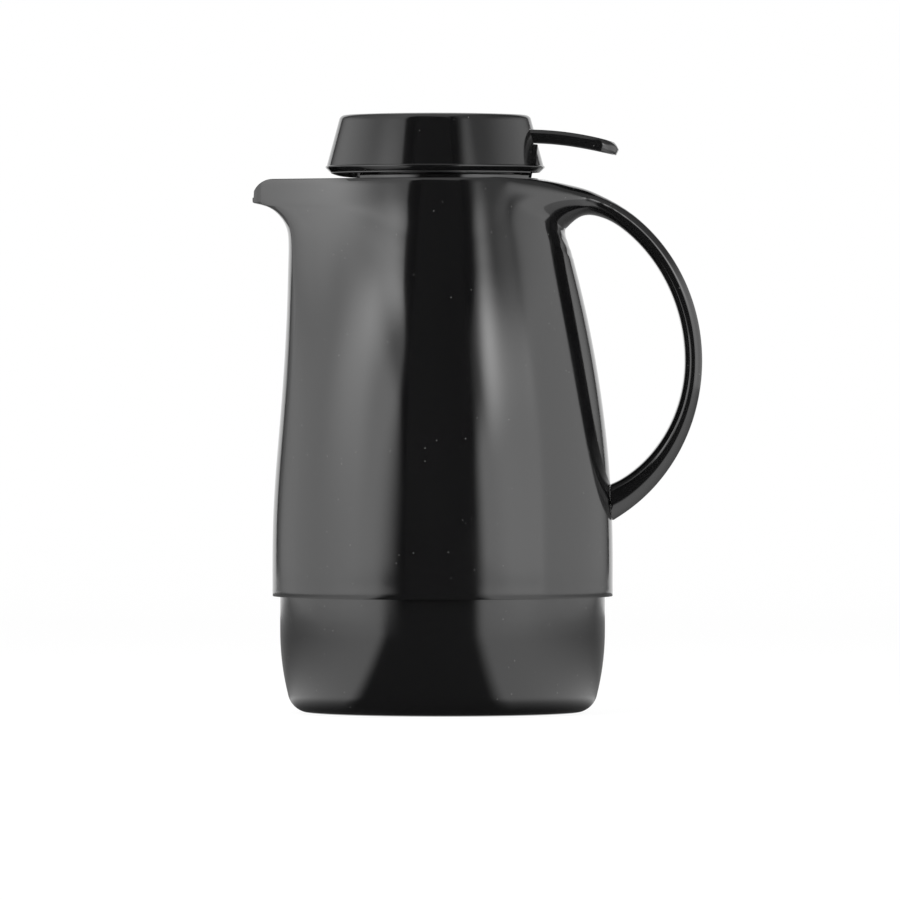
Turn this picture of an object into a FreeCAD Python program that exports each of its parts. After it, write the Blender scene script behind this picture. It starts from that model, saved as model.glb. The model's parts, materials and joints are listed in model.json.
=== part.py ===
import FreeCAD, Part
import math
import os

V = FreeCAD.Vector

# Vacuum jug: moulded jacket with spout and handle, glass insert, screw-in stopper, hinged cap.
# Frame: z up, origin in the middle of the foot, spout towards -x, handle towards +x.

# Jacket
body_r = 66.5
deck_z = 208.0
seam_z = 45.2
wall = 2.4
lean_z = 60.0
lean_radius = 450.0
lean_deg = 14.15
# Spout, reaching out from the edge of the deck
lip_out = 31.0
lip_curve = 14.0
lip_drop = 9.0
lip_slant = 0.5
lip_round = 8.0
lip_wall = 3.8
lip_mouth = 4.2
nose_r = 9.0
front_block = 16.0
keel_z = 100.0
trough_depth = 7.2
trough_floor = 3.0
# Handle, reaching out from the jacket
handle_reach = 34.7
handle_half_x = 65.1
handle_foot_z = 72.0
handle_dip = 0.6
grip_t = 6.8
grip_w = 22.0
root_gain = 13.0
root_deg = 76.0
root_flare = 5.2
flare_deg = 45.0
foot_gain = 6.5
handle_screw_r = 2.0
handle_screw_h = 9.5
handle_head_r = 4.0
handle_head_h = 2.4
# Base cup
base_step = 3.1
base_curve = 103.0
base_curve_z = 32.0
foot_corner = 9.0
foot_ring = 7.0
foot_recess = 1.4
base_upstand = 15.2
stop_w = 2.0
base_seal_up = 4.0
base_seal_h = 2.0
base_seal_deep = 1.2
# Neck and stopper, stepped inwards from the edge of the deck
collar_step = 6.0
bore_step = 9.2
neck_depth = 19.0
flange_t = 2.5
flange_w = 4.0
collar_t = 1.7
plug_wall = 2.0
seat_down = 2.0
seat_w = 2.4
stopper_floor_down = 4.0
stopper_floor_t = 2.0
stopper_seal_t = 1.6
# Cap
cap_x = -2.9
cap_lift = 3.1
cap_h = 22.8
cap_rim_step = 0.3
cap_taper = 6.0
cap_wall = 2.0
cap_crown = 0.9
cap_edge = 1.5
cap_seat = 2.2
plate_up = 2.3
plate_t = 1.8
plug_up = 0.85
bowl_w = 8.0
post_r = 3.0
post_in = 5.2
# Hinge and closing spring
hinge_in = 4.2
hinge_up = 5.0
pin_r = 1.25
eye_r = 2.4
lug_in = 6.4
lug_w = 3.0
ear_w = 2.6
ear_arm = 9.0
lug_lean = 1.0
lug_relief = 1.4
rear_clear = 7.0
spring_wire = 0.8
spring_pitch = 1.35
spring_turns = 4
spring_arm = 6.0
post_w = 3.0
# Lever, reaching out from the cap's rim
lever_out = 28.7
lever_w = 23.0
lever_up = 16.1
lever_arc = 118.0
lever_deep = 4.9
lever_skin = 1.8
lever_nose = 3.0
tongue = 11.0
# Pour seal and screws
seal_over = 1.6
button_r = 9.0
button_t = 1.2
stem_r = 3.0
cap_screw_r = 1.3
cap_screw_h = 9.0
cap_head_r = 2.6
cap_head_h = 1.0
lever_screw_r = 1.1
lever_head_r = 2.4
lever_head_h = 1.2
lever_bite = 2.4
# Glass insert and its soft rings
glass_t = 1.6
vacuum_gap = 2.4
insert_play = 6.6
insert_floor = 14.0
insert_corner = 28.0
shoulder_gap = 3.0
shoulder_share = 0.75
glass_neck_step = 10.7
glass_neck_h = 12.0
glass_lip_t = 2.0
glass_tip_h = 6.0
glass_tip_r = 4.0
spacer_r = 5.0
gasket_t = 2.5
gasket_w = 3.0
gasket_skirt = 7.0
cushion_bore = 16.0
cushion_step = 12.0
cushion_rise = 9.0
# Clearances
run_fit = 0.05
slip = 0.2
free_gap = 0.4
over = 1.0


def wall_r(z):
    """Outside radius of the round part of the jacket at height z."""
    lean = math.radians(lean_deg)
    cone_z = lean_z + lean_radius * math.sin(lean)
    if z <= lean_z:
        return body_r
    if z < cone_z:
        return body_r - lean_radius + math.sqrt(lean_radius**2 - (z - lean_z) ** 2)
    return body_r - lean_radius * (1 - math.cos(lean)) - (z - cone_z) * math.tan(lean)


top_r = wall_r(deck_z)
bore_r = top_r - bore_step
collar_r = top_r - collar_step
lip_reach = top_r + lip_out
lip_z = deck_z - lip_drop
lip_mid_z = lip_z - lip_curve - lip_slant
lip_turn = math.radians(75)
handle_out = body_r + handle_reach
handle_half_z = (deck_z - handle_dip - handle_foot_z) / 1.93
pour_hole_r = bore_r * 0.59
notch_half = bore_r * 0.553
trough_half = bore_r * 0.485


def keel_reach(z):
    """Front edge of the jacket in the middle plane: round wall, keel, then the curve under the lip."""
    if z <= keel_z:
        return wall_r(z)
    if z < lip_mid_z:
        span = lip_mid_z - keel_z
        t = (z - keel_z) / span
        slope = -(keel_z - lean_z) / lean_radius
        start = wall_r(keel_z) * (2 * t**3 - 3 * t**2 + 1)
        lean = slope * span * (t**3 - 2 * t**2 + t)
        return start + lean + (lip_reach - lip_curve) * (3 * t**2 - 2 * t**3)
    turn_z = lip_mid_z + lip_curve * math.sin(lip_turn)
    if z <= turn_z:
        return lip_reach - math.sqrt(lip_curve**2 - (z - lip_mid_z) ** 2)
    if z < lip_z:
        turned_in = lip_curve * math.cos(lip_turn)
        return lip_reach - turned_in * (lip_z - z) / (lip_z - turn_z)
    return lip_reach


def nose_at(z):
    """Nose radius of the keel, from the full round wall down to the lip's nose."""
    share = min(max((z - keel_z) / (lip_z - keel_z), 0), 1) ** 2
    return wall_r(z) - (wall_r(z) - nose_r) * share


def egg_radius(turn, r, reach, nose):
    """Polar radius of the hull of the round wall and the nose, at an angle from -x."""
    if reach - r < 0.001:
        return r
    shift = reach - nose
    flank = math.acos((r - nose) / shift)
    nose_end = math.atan2(nose * math.sin(flank), shift + nose * math.cos(flank))
    if turn >= flank:
        return r
    if turn > nose_end:
        return r / math.cos(flank - turn)
    return shift * math.cos(turn) + math.sqrt(nose**2 - (shift * math.sin(turn)) ** 2)


def section_radius(turn, z, grow):
    """Polar radius of the jacket at height z: round wall and keel, then flat flanks with a blunt front."""
    r = wall_r(z) + grow
    reach = keel_reach(z) + grow
    full = lip_reach + grow
    keel = egg_radius(turn, r, reach, nose_at(z) + grow)
    flank = egg_radius(turn, r, full, nose_r + grow)
    if reach < full and turn < math.pi / 2:
        front = (reach**-front_block - full**-front_block) * math.cos(turn) ** front_block
        flank = (flank**-front_block + front) ** (-1 / front_block)
    t = min(max((z - keel_z) / (lip_mid_z - keel_z), 0), 1)
    return keel + (flank - keel) * t * t * (3 - 2 * t)


def egg(z, radius, steps=18):
    """Closed section at height z of a polar radius, with points closer together at the nose."""
    half = [math.pi * (i / steps) ** 1.7 for i in range(1, steps)]
    turns = [-math.pi] + [-t for t in reversed(half)] + [0.0] + half
    points = []
    for t in turns:
        q = radius(abs(t))
        points.append(V(-q * math.cos(t), q * math.sin(t), z))
    curve = Part.BSplineCurve()
    curve.interpolate(points, PeriodicFlag=True)
    return Part.Wire(curve.toShape())


def outline(start, *steps):
    """Face in the xz plane: a step is a point, or a middle point and an end point of an arc."""
    edges = []
    here = V(start[0], 0, start[1])
    for step in steps + (start,):
        if isinstance(step[0], tuple):
            mid = V(step[0][0], 0, step[0][1])
            there = V(step[1][0], 0, step[1][1])
            edges.append(Part.Arc(here, mid, there).toShape())
        else:
            there = V(step[0], 0, step[1])
            if there.distanceToPoint(here) > 1e-6:
                edges.append(Part.makeLine(here, there))
        here = there
    return Part.Face(Part.Wire(edges))


def turned(face, x=0.0):
    """Full turn of a profile drawn from the axis, round the vertical line at x."""
    solid = face.revolve(V(0, 0, 0), V(0, 0, 1), 360)
    return solid.translated(V(x, 0, 0))


def tube(r_in, r_out, z0, z1, x=0.0):
    solid = Part.makeCylinder(r_out, z1 - z0, V(x, 0, z0))
    if r_in > 0:
        solid = solid.cut(Part.makeCylinder(r_in, z1 - z0, V(x, 0, z0)))
    return solid


def block(x0, x1, half_y, z0, z1):
    return Part.makeBox(x1 - x0, 2 * half_y, z1 - z0, V(x0, -half_y, z0))


def crosswise(face, y0, y1):
    """Side profile drawn in the xz plane, extruded from y0 to y1."""
    return face.translated(V(0, y0, 0)).extrude(V(0, y1 - y0, 0))


def along(r, start, direction, length):
    return Part.makeCylinder(r, length, start, direction)


def jacket_form(grow, z0, z1, count):
    """Jacket's outer form from z0 up to the lip's edge, grown outwards by grow."""
    levels = [z0 + (lip_mid_z - z0) * i / count for i in range(count + 1)]
    levels += [lip_mid_z + lip_curve * math.sin(lip_turn * i / 4) for i in range(1, 5)] + [lip_z]
    levels = [z for z in levels if z < z1] + [z1]
    return Part.makeLoft([egg(z, lambda t: section_radius(t, z, grow)) for z in levels], True)


def handle_section(deg, points=20):
    """Oval section of the handle at an angle on its outer curve."""
    a = math.radians(deg)
    centre_x = handle_out - handle_half_x
    centre_z = deck_z - handle_dip - handle_half_z
    edge = V(centre_x + handle_half_x * math.cos(a), 0, centre_z + handle_half_z * math.sin(a))
    out = V(math.cos(a) / handle_half_x, 0, math.sin(a) / handle_half_z).normalize()
    rise = (max(0, min(deg, root_deg) - 30) / (root_deg - 30)) ** 10.5
    thick = grip_t + root_gain * rise + foot_gain * max(0, -deg / 62) ** 2
    flare = max(0, deg - flare_deg) / (root_deg - flare_deg)
    wide = grip_w + 2 * root_flare * flare**2
    middle = edge - out * (thick / 2)
    ring = []
    for i in range(points):
        c = math.cos(2 * math.pi * i / points)
        s = math.sin(2 * math.pi * i / points)
        u = math.copysign(abs(c) ** 0.55, c) * thick / 2
        v = math.copysign(abs(s) ** 0.55, s) * wide / 2
        ring.append(middle + out * u + V(0, v, 0))
    curve = Part.BSplineCurve()
    curve.interpolate(ring, PeriodicFlag=True)
    return Part.Wire(curve.toShape())


# Jacket: outer form, rim band above the lip's edge, handle, then the hollows
shell = jacket_form(0, seam_z, lip_z, 7)
band_levels = [lip_z, deck_z]
band = Part.makeLoft([egg(z, lambda t: section_radius(t, z, 0)) for z in band_levels], True)
handle = Part.makeLoft([handle_section(d) for d in (-72, -58, -42, -22, 0, 22, 42, 58, 66, 71, 76, 88)], True)
foot_gap = jacket_form(free_gap, seam_z, deck_z - handle_half_z, 5)
handle = handle.cut(foot_gap)
jacket = shell.fuse([band, handle])

# Lip: the rim's edge rounds down to the tip
tip_x = -lip_reach - over
round_x = -lip_reach + lip_round
above = deck_z + over
lip_mid = (round_x - lip_round * math.cos(math.pi / 4), deck_z - lip_round * (1 - math.sin(math.pi / 4)))
lip_end = (-lip_reach, deck_z - lip_round)
trim = outline((round_x, deck_z), (lip_mid, lip_end), (tip_x, lip_end[1]), (tip_x, above), (round_x, above))
jacket = jacket.cut(crosswise(trim, -body_r, body_r))

# Pouring trough from the neck to the tip
trough_z = deck_z - trough_depth
tip_r = nose_r - lip_wall
tip_c = nose_r - lip_reach - lip_mouth
mouth_c = -bore_r * 0.765
run = mouth_c - tip_c
lean = math.acos((trough_half - tip_r) / run)
side = V(-math.cos(lean), math.sin(lean), 0)
near = V(mouth_c, 0, trough_z)
far = V(tip_c, 0, trough_z)
corners = [near + side * trough_half, far + side * tip_r]
mirrored = [V(p.x, -p.y, p.z) for p in reversed(corners)]
tip_arc = Part.Arc(corners[1], far - V(tip_r, 0, 0), mirrored[0]).toShape()
back_arc = Part.Arc(mirrored[1], near + V(trough_half, 0, 0), corners[0]).toShape()
edges = [Part.makeLine(corners[0], corners[1]), tip_arc, Part.makeLine(mirrored[0], mirrored[1]), back_arc]
trough = Part.Face(Part.Wire(edges)).extrude(V(0, 0, trough_depth + over))
jacket = jacket.cut(trough)

# Hollow for the insert, neck tube with its flange, and the stop for the base cup
hollow_top = trough_z - trough_floor
flange_z = deck_z - neck_depth
stop_z = seam_z + base_upstand
socket_z = stop_z + stop_w
inner_r = body_r - wall
hollow_levels = [socket_z + (lip_mid_z - socket_z) * i / 6 for i in range(7)]
hollow_sections = [egg(z, lambda t: section_radius(t, z, -wall)) for z in hollow_levels]
hollow_reach = lip_reach - lip_curve - 2 * wall
hollow_r = wall_r(hollow_top) - wall
hollow_sections.append(egg(hollow_top, lambda t: egg_radius(t, hollow_r, hollow_reach, nose_at(lip_mid_z))))
hollow = Part.makeLoft(hollow_sections, True)
neck = tube(0, bore_r + wall, flange_z - flange_t, deck_z)
socket = tube(0, inner_r, seam_z, stop_z).fuse(tube(0, inner_r - stop_w, stop_z, socket_z))
jacket = jacket.cut(hollow.cut(neck)).cut(socket)
jacket = jacket.cut(tube(0, bore_r, flange_z, deck_z + over))
jacket = jacket.cut(tube(0, bore_r - flange_w, flange_z - flange_t, flange_z))

# Screw hole through the wall into the free end of the handle
screw_z = handle_foot_z + handle_half_z * 0.14
screw_in = wall_r(screw_z + handle_head_r) - wall - slip
x_dir = V(1, 0, 0)
screw_hole = along(handle_screw_r + run_fit, V(screw_in - over, 0, screw_z), x_dir, handle_screw_h + over + slip)
jacket = jacket.cut(screw_hole)
head_at = V(screw_in - handle_head_h, 0, screw_z)
handle_screw = along(handle_head_r, head_at, x_dir, handle_head_h)
handle_screw = handle_screw.fuse(along(handle_screw_r, V(screw_in, 0, screw_z), x_dir, handle_screw_h))
handle_screw = handle_screw.cut(along(handle_head_r * 0.3, head_at, x_dir, handle_head_h * 0.6))

# Base cup: curved side, rounded foot, upstand inside the jacket
base_r = body_r - base_step
foot_z = foot_corner * 0.8
foot_r = base_r - base_curve + math.sqrt(base_curve**2 - (base_curve_z - foot_z) ** 2)
ring_r = foot_r - foot_corner
side_mid_z = (base_curve_z + foot_z) / 2
side_mid_r = base_r - base_curve + math.sqrt(base_curve**2 - (base_curve_z - side_mid_z) ** 2)
corner = ((ring_r + foot_corner * 0.64, foot_z * 0.26), (foot_r, foot_z))
side = ((side_mid_r, side_mid_z), (base_r, base_curve_z))
up_r = inner_r - free_gap
up_z = seam_z + free_gap
upstand = ((base_r, up_z), (up_r, up_z), (up_r, stop_z), (0, stop_z))
base_form = outline((0, 0), (ring_r, 0), corner, side, *upstand)
floor_z = foot_recess + wall
in_r = base_r - wall
in_low = (in_r - foot_corner / 3, base_curve_z * 0.45)
in_corner = ((in_r - foot_corner, floor_z + foot_corner / 4), in_low)
mouth = ((in_r, base_curve_z), (in_r, stop_z + over), (0, stop_z + over))
base_hollow = outline((0, floor_z), (ring_r - wall, floor_z), in_corner, *mouth)
base_cup = turned(base_form).cut(turned(base_hollow))
base_cup = base_cup.cut(tube(0, ring_r - foot_ring, 0, foot_recess))
seal_z = seam_z + base_seal_up
groove_r = up_r - base_seal_deep
base_cup = base_cup.cut(tube(groove_r, body_r, seal_z, seal_z + base_seal_h))
base_seal = tube(groove_r + run_fit, inner_r - slip, seal_z + run_fit, seal_z + base_seal_h - run_fit)

# Glass insert: the same vessel outline, stepped inwards for each face of the glass
insert_r = body_r - wall - insert_play
lip_top = flange_z - flange_t - gasket_t
glass_neck_r = top_r - glass_neck_step
lean_in = lean_radius - insert_play + shoulder_gap
shoulder_z = lean_z + math.sqrt(lean_radius**2 - lean_in**2)
shoulder_h = lip_top - glass_neck_h - shoulder_z
bend = 2 * math.atan((insert_r - glass_neck_r) / shoulder_h)
shoulder_out = shoulder_share * shoulder_h / math.sin(bend)
shoulder_in = shoulder_h / math.sin(bend) - shoulder_out


def vessel(step, top):
    """Solid vessel: flat bottom with a round corner, straight wall, shoulder of two arcs, neck."""
    r = insert_r - step
    low = insert_floor + step
    corner = insert_corner - step
    mid = corner * (1 - math.sqrt(0.5))
    axis_r = insert_r - shoulder_out
    out_r = shoulder_out - step
    in_r = shoulder_in + step
    far_r = axis_r + (shoulder_out + shoulder_in) * math.cos(bend)
    far_z = shoulder_z + (shoulder_out + shoulder_in) * math.sin(bend)
    meet = (axis_r + out_r * math.cos(bend), shoulder_z + out_r * math.sin(bend))
    out_mid = (axis_r + out_r * math.cos(bend / 2), shoulder_z + out_r * math.sin(bend / 2))
    in_mid = (far_r - in_r * math.cos(bend / 2), far_z - in_r * math.sin(bend / 2))
    end = (far_r - in_r, far_z)
    steps = [(r - corner, low), ((r - mid, low + mid), (r, low + corner)), (r, shoulder_z)]
    steps += [(out_mid, meet), (in_mid, end), (end[0], top), (0, top)]
    return turned(outline((0, low), *steps))


outer_top = lip_top - glass_lip_t
tip_low = insert_floor - glass_tip_h
tip_end = ((glass_tip_r * 0.4, tip_low), (glass_tip_r, insert_floor), (glass_tip_r, insert_floor + glass_t / 2))
tip_form = outline((0, tip_low), *tip_end, (0, insert_floor + glass_t / 2))
glass_outer_wall = vessel(0, outer_top).cut(vessel(glass_t, outer_top)).fuse(turned(tip_form))
inner_out = glass_t + vacuum_gap
lip_r = glass_neck_r - inner_out
lip_ring = tube(lip_r - glass_t, glass_neck_r, outer_top, lip_top)
glass_inner_wall = vessel(inner_out, lip_top).cut(vessel(inner_out + glass_t, lip_top)).fuse(lip_ring)
pad_ring = tube(insert_r - inner_out + run_fit, insert_r - glass_t - run_fit, insert_floor, shoulder_z)
pad_z = (insert_floor + insert_corner + shoulder_z) / 2
pads = []
for i in range(3):
    a = 2 * math.pi * i / 3
    pads.append(along(spacer_r, V(0, 0, pad_z), V(math.cos(a), math.sin(a), 0), body_r).common(pad_ring))
glass_spacers = Part.makeCompound(pads)

# Soft rings round the insert
gasket_in = lip_r - glass_t + gasket_w / 5
gasket_r = glass_neck_r + gasket_w
neck_gasket = tube(gasket_in, gasket_r, lip_top, flange_z - flange_t)
neck_gasket = neck_gasket.fuse(tube(glass_neck_r + slip, gasket_r, lip_top - gasket_skirt, lip_top))
cushion = tube(cushion_bore, insert_r - cushion_step, floor_z, insert_floor + cushion_rise)
insert_cushion = cushion.cut(vessel(-run_fit, outer_top))

# Stopper: collar on the deck, plug in the neck, raised valve seat round the pour hole
plug_r = bore_r - free_gap
plug_in = plug_r - plug_wall
collar_z = deck_z + collar_t
seat_z = deck_z - seat_down
floor_top = deck_z - stopper_floor_down
plug_low = flange_z + stopper_seal_t
seat_r = pour_hole_r + seat_w
round_off = collar_t * 0.3
skirt = ((plug_in, floor_top - stopper_floor_t), (plug_in, plug_low), (plug_r, plug_low), (plug_r, deck_z))
rim_end = (collar_r - round_off, collar_z)
rim_arc = ((collar_r - round_off * 0.3, collar_z - round_off * 0.3), rim_end)
rim = ((collar_r, deck_z), (collar_r, collar_z - round_off), rim_arc, (plug_in, collar_z))
seat = ((plug_in, floor_top), (seat_r, floor_top), (seat_r, seat_z), (pour_hole_r, seat_z))
stopper = turned(outline((pour_hole_r, floor_top - stopper_floor_t), *skirt, *rim, *seat))
notch_x = -(seat_r + plug_wall)
stopper = stopper.cut(block(-collar_r - over, notch_x, notch_half, floor_top, collar_z + over))

# Hinge lugs on the collar, with the collar lowered behind them, and the post for the spring's foot
hinge_x = collar_r - hinge_in
hinge_z = deck_z + hinge_up
lug_out = lug_in + lug_w
eye_back = hinge_x + eye_r
eye_front = hinge_x - eye_r
eye_top = ((hinge_x, hinge_z + eye_r), (eye_front, hinge_z))
lug_side = outline((eye_front, deck_z), (eye_back - lug_lean, deck_z), (eye_back, hinge_z), eye_top)
relief_z = collar_z - lug_relief
stopper = stopper.cut(block(eye_front, collar_r + over, lug_out + rear_clear, relief_z, collar_z + over))
stopper = stopper.fuse([crosswise(lug_side, lug_in, lug_out), crosswise(lug_side, -lug_out, -lug_in)])
coil_r = pin_r + free_gap + spring_wire / 2
leg_x = hinge_x - coil_r
leg_y = spring_pitch * spring_turns / 2
rest_x = leg_x - spring_wire / 2 - slip / 2
post_low = floor_top - stopper_floor_t / 2
post_h = deck_z - post_low
post = Part.makeBox(post_w / 2, post_w, post_h, V(rest_x - post_w / 2, -leg_y - post_w / 2, post_low))
stopper = stopper.fuse(post)
bore = along(pin_r + run_fit, V(hinge_x, -lug_out - over, hinge_z), V(0, 1, 0), 2 * (lug_out + over))
stopper = stopper.cut(bore)
stopper_seal = tube(bore_r - flange_w + slip, plug_r - slip, flange_z, plug_low)
hinge_pin = along(pin_r, V(hinge_x, -lug_out, hinge_z), V(0, 1, 0), 2 * lug_out)

# Cap shell: cone with a slightly crowned top, slot for the lever, screw posts
cap_z = deck_z + cap_lift
cap_r = top_r - cap_rim_step
cap_top = cap_z + cap_h
edge_z = cap_top - cap_crown
taper = cap_taper / (edge_z - cap_z)
plate_z = deck_z + plate_up
ledge_z = plate_z + plate_t
seat_in = cap_r - cap_seat
edge_r = cap_r - cap_taper
flat_r = edge_r - cap_edge
bead_low = (edge_r + cap_edge * taper, edge_z - cap_edge)
bead = (bead_low, ((edge_r - cap_edge * 0.25, edge_z - cap_edge * 0.27), (flat_r, edge_z)))
dome_r = (flat_r**2 + cap_crown**2) / (2 * cap_crown)
dome_mid = cap_top - dome_r + math.sqrt(dome_r**2 - (edge_r / 2) ** 2)
rim_z = cap_z - cap_edge / 4
rim_arc = ((cap_r - cap_edge * 0.12, cap_z - cap_edge * 0.1), (cap_r, cap_z + cap_edge / 3))
rim_low = ((seat_in, rim_z), (cap_r - cap_edge / 2, rim_z), rim_arc)
cap_form = outline((0, rim_z), *rim_low, *bead, ((edge_r / 2, dome_mid), (0, cap_top)))
roof = edge_z - cap_wall
roof_r = edge_r + taper * cap_wall - cap_wall * 1.05
hollow_low = cap_r - taper * (ledge_z - cap_z) - cap_wall * 1.05
hollow_top = ((hollow_low, ledge_z), (roof_r, roof), (0, roof))
cap_hollow = outline((0, rim_z - over), (seat_in, rim_z - over), (seat_in, ledge_z), *hollow_top)
cap_solid = turned(cap_form, cap_x)
cap_shell = cap_solid.cut(turned(cap_hollow, cap_x))
post_ring = seat_in - post_in
post_turns = [math.radians(d) for d in (70, 150, 210, 290)]
spots = [V(cap_x + post_ring * math.cos(a), post_ring * math.sin(a), ledge_z) for a in post_turns]
up_dir = V(0, 0, 1)
posts = [along(post_r, p, up_dir, roof + cap_wall / 4 - ledge_z).common(cap_solid) for p in spots]
cap_shell = cap_shell.fuse(posts)

# Lever: arched tray with a rounded end, carried on a flat tongue inside the cap
lever_z = cap_z + lever_up
lever_tip = cap_x + cap_r + lever_out
root_x = hinge_x - tongue
crest_x = hinge_x
bend_x = lever_tip - lever_nose
tip_z = lever_z - (bend_x - crest_x) ** 2 / (2 * lever_arc)
mid_x = (crest_x + bend_x) / 2
mid_z = lever_z - (mid_x - crest_x) ** 2 / (2 * lever_arc)
low_z = tip_z - lever_deep
lever_low = lever_z - lever_deep


def lever_side(inset):
    """Side view of the lever; an inset gives the hollow, which runs out through the underside."""
    down = 2 * lever_deep if inset else 0
    tip_low = (bend_x - inset, low_z - down)
    under = ((hinge_x, lever_low - down), (root_x - over, lever_low - down))
    tip_end = ((lever_tip - inset, (tip_z + low_z - inset - down) / 2), tip_low)
    top = ((mid_x, mid_z - inset), (bend_x - inset, tip_z - inset))
    return outline((root_x - over, lever_z - inset), (crest_x, lever_z - inset), top, tip_end, *under)


def lever_plan(inset):
    """Plan of the lever with its rounded end."""
    half = lever_w / 2 - inset
    end_r = lever_w * 0.4
    straight = lever_tip - inset - end_r
    bulge = lever_tip - inset
    a = V(root_x + inset, -half, 0)
    b = V(straight, -half, 0)
    c = V(straight, half, 0)
    d = V(root_x + inset, half, 0)
    edges = [Part.makeLine(a, b), Part.Arc(b, V(bulge, 0, 0), c).toShape(), Part.makeLine(c, d), Part.makeLine(d, a)]
    return Part.Face(Part.Wire(edges)).translated(V(0, 0, deck_z)).extrude(V(0, 0, 3 * cap_h))


lever_solid = crosswise(lever_side(0), -lever_w, lever_w).common(lever_plan(0))
lever_hollow = crosswise(lever_side(lever_skin), -lever_w, lever_w).common(lever_plan(lever_skin))
thumb_lever = lever_solid.cut(lever_hollow)
lever_spots = [V(root_x + tongue / 2, y, lever_z) for y in (-lever_w / 4, lever_w / 4)]
slot = block(root_x, cap_r + over, lever_w / 2 + slip, lever_low - lever_deep / 6, lever_z + slip)
lever_posts = [along(post_r, p, up_dir, roof + cap_wall / 4 - lever_z) for p in lever_spots]
cap_shell = cap_shell.cut(slot).fuse(lever_posts)

# Screws for the cap's plate and for the lever
cap_screws = []
for p in spots:
    head_at = V(p.x, p.y, plate_z)
    screw = along(cap_head_r, head_at, up_dir, cap_head_h)
    cap_screws.append(screw.fuse(along(cap_screw_r, head_at, up_dir, cap_screw_h)))
    cap_shell = cap_shell.cut(along(cap_screw_r + run_fit, head_at, up_dir, cap_screw_h + slip))
lever_screws = []
for p in lever_spots:
    seat_at = V(p.x, p.y, lever_z - lever_skin)
    screw = along(lever_head_r, seat_at - up_dir * lever_head_h, up_dir, lever_head_h)
    lever_screws.append(screw.fuse(along(lever_screw_r, seat_at, up_dir, lever_skin + lever_bite)))
    thread = along(lever_screw_r + run_fit, seat_at, up_dir, lever_skin + lever_bite + slip)
    cap_shell = cap_shell.cut(thread)
    thumb_lever = thumb_lever.cut(thread)

# Cap base: plate in the cap's mouth, plug in the collar, apron in the pour notch, hinge ears
plug_z = deck_z + plug_up
bowl_r = seat_in - slip
plate = tube(0, bowl_r, plate_z, ledge_z, cap_x)
bowl_side = ((bowl_r - bowl_w * 0.42, plug_z + plug_up / 2), (bowl_r - bowl_w, plug_z))
bowl_form = outline((0, ledge_z), (bowl_r, ledge_z), (bowl_r, plate_z), bowl_side, (0, plug_z))
plug_keep = tube(0, plug_in - plug_up, plug_z - over, ledge_z)
front_keep = block(-body_r, notch_x - over, notch_half - 3 * free_gap, plug_z - over, ledge_z)
cap_base = plate.fuse(turned(bowl_form, cap_x).common(plug_keep.fuse(front_keep)))
cut_x = eye_front - post_w
cap_base = cap_base.cut(block(cut_x, body_r, lug_out + rear_clear, plug_z - over, ledge_z + over))
ear_out = lug_in - slip
arm_x = hinge_x - ear_arm
ear_low = ((cut_x, plate_z), (hinge_x, hinge_z - eye_r))
eye = ((eye_back, hinge_z), (hinge_x, hinge_z + eye_r))
ear_side = outline((arm_x, plate_z), *ear_low, eye, (arm_x, ledge_z + plate_t))
ears = [crosswise(ear_side, ear_out - ear_w, ear_out), crosswise(ear_side, -ear_out, ear_w - ear_out)]
rest_h = hinge_z + spring_arm - plate_z
spring_rest = Part.makeBox(rest_x - arm_x, post_w, rest_h, V(arm_x, leg_y - post_w / 2, plate_z))
cap_base = cap_base.fuse(ears + [spring_rest]).cut(bore)
for p in spots:
    low = V(p.x, p.y, plug_z - over)
    cap_base = cap_base.cut(along(cap_screw_r + slip, low, up_dir, ledge_z + over - low.z))
    cap_base = cap_base.cut(along(cap_head_r + slip, low, up_dir, plate_z + cap_head_h - low.z))

# Pour seal and its button
pour_seal = tube(stem_r + run_fit, seat_r + seal_over, seat_z, plug_z)
cap_base = cap_base.cut(along(stem_r + run_fit, V(0, 0, plug_z - over), up_dir, ledge_z + over - plug_z))
button = ((button_r, seat_z - button_t), (button_r, seat_z), (stem_r, seat_z), (stem_r, ledge_z))
snap = ((stem_r * 1.3, ledge_z), (stem_r, ledge_z + button_t), (0, ledge_z + button_t))
seal_retainer = turned(outline((0, seat_z - button_t), *button, *snap))

# Closing spring: one unbroken wire, foot against the post, turns round the pin, arm against the cap


def coil_point(turn):
    a = math.pi - 2 * math.pi * turn
    y = -leg_y + spring_pitch * turn
    return V(hinge_x + coil_r * math.cos(a), y, hinge_z + coil_r * math.sin(a))


foot_end = V(leg_x, -leg_y, floor_top + over)
wire = [Part.makeLine(foot_end, coil_point(0))]
for i in range(4 * spring_turns):
    ends = (coil_point(i / 4), coil_point(i / 4 + 0.125), coil_point((i + 1) / 4))
    wire.append(Part.Arc(*ends).toShape())
arm_start = coil_point(spring_turns)
wire.append(Part.makeLine(arm_start, arm_start + up_dir * spring_arm))
ring = Part.Wire(Part.makeCircle(spring_wire / 2, foot_end, up_dir))
closing_spring = Part.Wire(wire).makePipeShell([ring], True, False)
dots = [coil_point(i / 24) for i in range(24 * spring_turns + 1)]
apart = [a.distanceToPoint(b) for i, a in enumerate(dots) for b in dots[i + 12 :]]
print("closing spring, least gap to itself", round(min(apart) - spring_wire, 2))

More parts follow.
